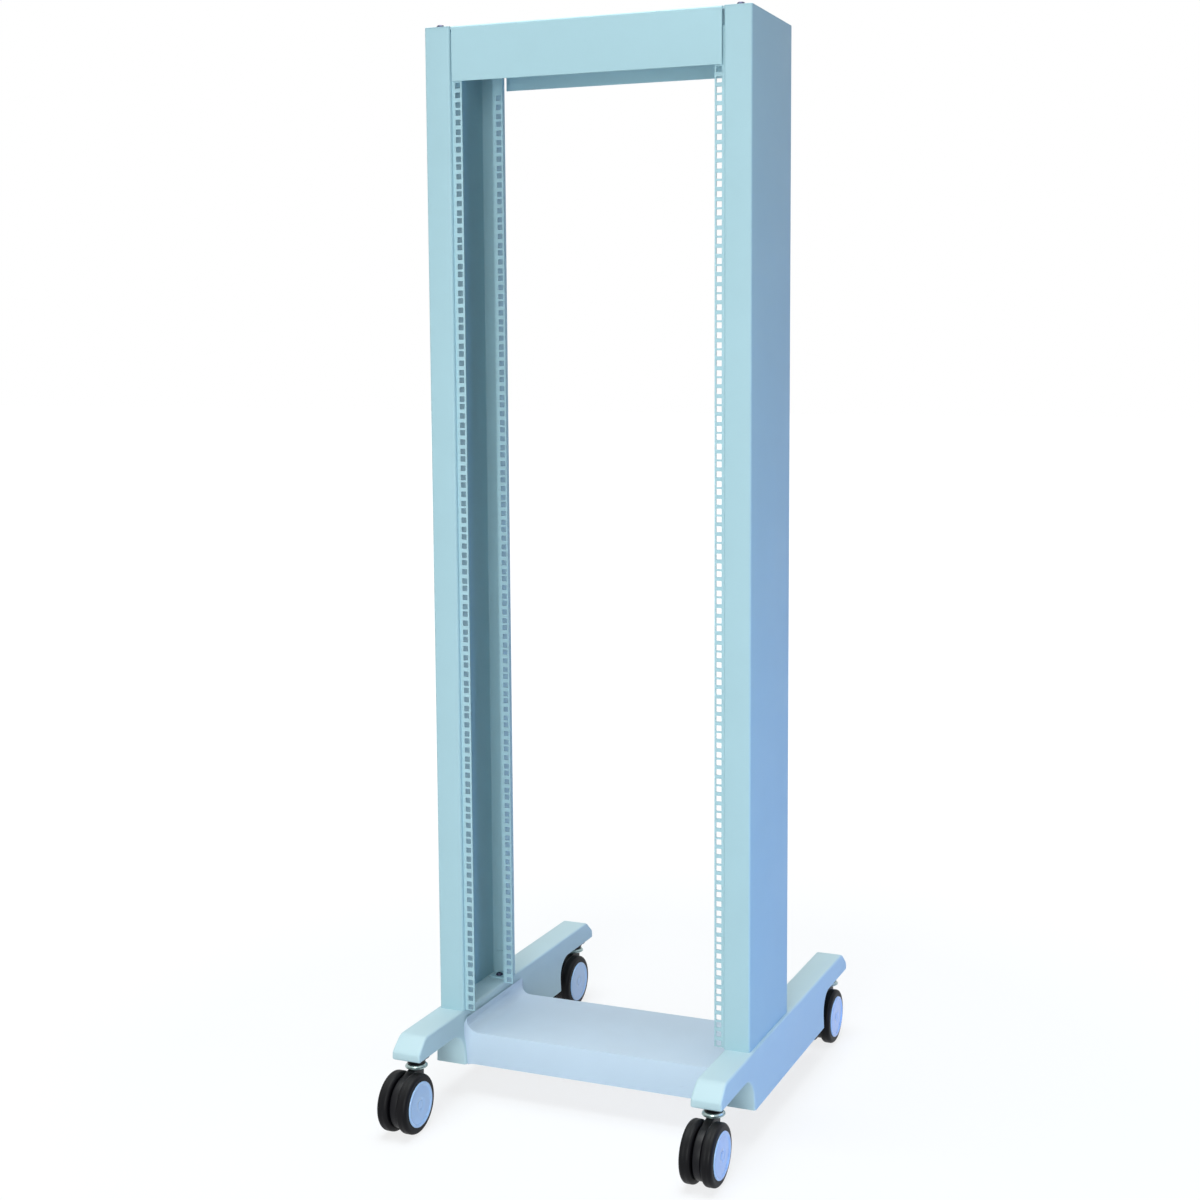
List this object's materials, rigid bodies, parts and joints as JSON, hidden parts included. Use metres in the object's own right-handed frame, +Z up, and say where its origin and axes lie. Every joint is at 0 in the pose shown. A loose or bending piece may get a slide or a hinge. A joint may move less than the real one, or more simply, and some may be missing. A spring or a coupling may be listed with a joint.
{
  "type": "two post open frame rack on castors",
  "caption": "Free-standing open frame of two hollow folded posts joined by a hood beam, with square-hole mounting rails, long low feet, a coved base tray and twin wheel castors.",
  "frame": {"origin": "on the floor, midway between the frontmost wheels and the rear end of the feet, on the rack's mirror plane", "axes": "+X across the rack to the right seen from the front, +Y from front to back, +Z up"},
  "size_m": [0.601, 0.752, 1.8522],
  "materials": {
    "pale_steel": "fine textured powder coat, pale blue grey",
    "foot_paint": "fine textured powder coat, pale blue grey",
    "tray_paint": "fine textured powder coat, pale blue grey",
    "bolt": "dark plated screw",
    "castor_black": "moulded black nylon",
    "collar": "zinc plated pressing",
    "wheel_cap": "smooth pale blue grey moulding",
    "tyre": "smooth black tread"
  },
  "bodies": {
    "rack": {"left_post": "pale_steel", "right_post": "pale_steel", "left_post_cap": "pale_steel", "right_post_cap": "pale_steel", "front_left_rail": "pale_steel", "front_right_rail": "pale_steel", "rear_left_rail": "pale_steel", "rear_right_rail": "pale_steel", "top_beam": "pale_steel", "top_bolts": "bolt", "left_foot": "foot_paint", "right_foot": "foot_paint", "base_tray": "tray_paint", "post_brackets": "pale_steel", "front_left_castor_stem": "castor_black", "front_right_castor_stem": "castor_black", "rear_left_castor_stem": "castor_black", "rear_right_castor_stem": "castor_black"},
    "front_left_swivel": {"front_left_castor_housing": "castor_black", "front_left_castor_collar": "collar"},
    "front_left_outer_roller": {"front_left_outer_wheel": "wheel_cap", "front_left_outer_tyre": "tyre"},
    "front_left_inner_roller": {"front_left_inner_wheel": "wheel_cap", "front_left_inner_tyre": "tyre"},
    "front_right_swivel": {"front_right_castor_housing": "castor_black", "front_right_castor_collar": "collar"},
    "front_right_outer_roller": {"front_right_outer_wheel": "wheel_cap", "front_right_outer_tyre": "tyre"},
    "front_right_inner_roller": {"front_right_inner_wheel": "wheel_cap", "front_right_inner_tyre": "tyre"},
    "rear_left_swivel": {"rear_left_castor_housing": "castor_black", "rear_left_castor_collar": "collar"},
    "rear_left_outer_roller": {"rear_left_outer_wheel": "wheel_cap", "rear_left_outer_tyre": "tyre"},
    "rear_left_inner_roller": {"rear_left_inner_wheel": "wheel_cap", "rear_left_inner_tyre": "tyre"},
    "rear_right_swivel": {"rear_right_castor_housing": "castor_black", "rear_right_castor_collar": "collar"},
    "rear_right_outer_roller": {"rear_right_outer_wheel": "wheel_cap", "rear_right_outer_tyre": "tyre"},
    "rear_right_inner_roller": {"rear_right_inner_wheel": "wheel_cap", "rear_right_inner_tyre": "tyre"}
  },
  "joints": [
    {"name": "front_left_swivel_turn", "type": "hinge", "parent": "rack", "child": "front_left_swivel", "pos_m": [-0.2705, -0.289, 0.1], "axis": [0, 0, 1], "continuous": true},
    {"name": "front_left_outer_roll", "type": "hinge", "parent": "front_left_swivel", "child": "front_left_outer_roller", "pos_m": [-0.2895, -0.326, 0.05], "axis": [1, 0, 0], "continuous": true},
    {"name": "front_left_inner_roll", "type": "hinge", "parent": "front_left_swivel", "child": "front_left_inner_roller", "pos_m": [-0.2515, -0.326, 0.05], "axis": [1, 0, 0], "continuous": true},
    {"name": "front_right_swivel_turn", "type": "hinge", "parent": "rack", "child": "front_right_swivel", "pos_m": [0.2705, -0.289, 0.1], "axis": [0, 0, 1], "continuous": true},
    {"name": "front_right_outer_roll", "type": "hinge", "parent": "front_right_swivel", "child": "front_right_outer_roller", "pos_m": [0.2895, -0.326, 0.05], "axis": [1, 0, 0], "continuous": true},
    {"name": "front_right_inner_roll", "type": "hinge", "parent": "front_right_swivel", "child": "front_right_inner_roller", "pos_m": [0.2515, -0.326, 0.05], "axis": [1, 0, 0], "continuous": true},
    {"name": "rear_left_swivel_turn", "type": "hinge", "parent": "rack", "child": "rear_left_swivel", "pos_m": [-0.2705, 0.341, 0.1], "axis": [0, 0, 1], "continuous": true},
    {"name": "rear_left_outer_roll", "type": "hinge", "parent": "rear_left_swivel", "child": "rear_left_outer_roller", "pos_m": [-0.2895, 0.304, 0.05], "axis": [1, 0, 0], "continuous": true},
    {"name": "rear_left_inner_roll", "type": "hinge", "parent": "rear_left_swivel", "child": "rear_left_inner_roller", "pos_m": [-0.2515, 0.304, 0.05], "axis": [1, 0, 0], "continuous": true},
    {"name": "rear_right_swivel_turn", "type": "hinge", "parent": "rack", "child": "rear_right_swivel", "pos_m": [0.2705, 0.341, 0.1], "axis": [0, 0, 1], "continuous": true},
    {"name": "rear_right_outer_roll", "type": "hinge", "parent": "rear_right_swivel", "child": "rear_right_outer_roller", "pos_m": [0.2895, 0.304, 0.05], "axis": [1, 0, 0], "continuous": true},
    {"name": "rear_right_inner_roll", "type": "hinge", "parent": "rear_right_swivel", "child": "rear_right_inner_roller", "pos_m": [0.2515, 0.304, 0.05], "axis": [1, 0, 0], "continuous": true}
  ]
}
